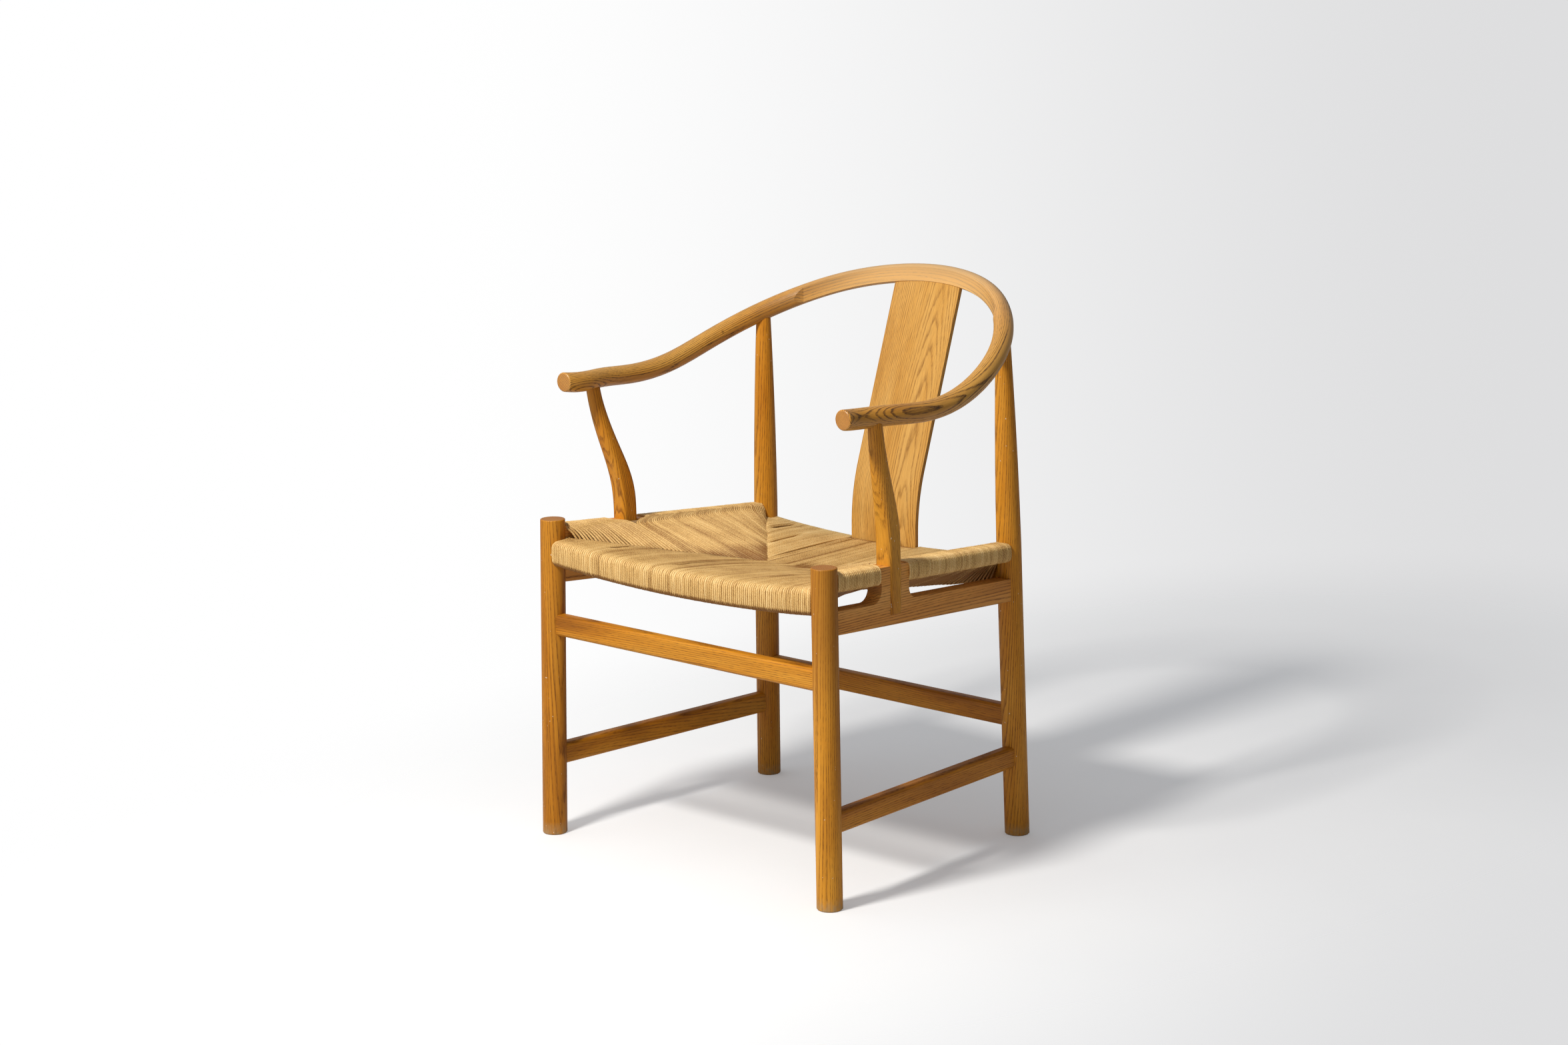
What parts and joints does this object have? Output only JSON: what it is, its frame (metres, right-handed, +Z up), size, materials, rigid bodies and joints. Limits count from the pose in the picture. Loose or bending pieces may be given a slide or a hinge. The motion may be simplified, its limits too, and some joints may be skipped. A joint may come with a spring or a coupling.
{
  "type": "horseshoe back armchair",
  "caption": "Wooden armchair with a horseshoe rail that forms back and arms, a bent splat, curved arm supports, slotted side rails and a woven paper cord seat",
  "frame": {"origin": "on the floor, below the middle of the chair's outline", "axes": "+X towards the sitter's left, -Y towards the front, +Z up"},
  "size_m": [0.5896, 0.5772, 0.8082],
  "materials": {
    "ash": "oiled ash with an aged honey tone",
    "dowel": "plain sanded hardwood, glued in",
    "paper_cord": "twisted unbleached paper cord, waxed",
    "card": "folded brown card",
    "steel": "plain bright tacks"
  },
  "bodies": {
    "root": {"front_leg_left": "ash", "front_leg_right": "ash", "rear_post_left": "ash", "rear_post_right": "ash", "arm_support_left": "ash", "arm_support_right": "ash", "side_seat_rail_left": "ash", "side_seat_rail_right": "ash", "side_stretcher_left": "ash", "side_stretcher_right": "ash", "horseshoe_rail": "ash", "back_splat": "ash", "front_seat_rail": "ash", "rear_seat_rail": "ash", "front_stretcher": "ash", "rear_stretcher": "ash", "arm_support_dowels": "dowel", "weave_front": "paper_cord", "weave_rear": "paper_cord", "weave_left": "paper_cord", "weave_right": "paper_cord", "seat_stuffing": "card", "cord_tacks": "steel"}
  },
  "joints": []
}
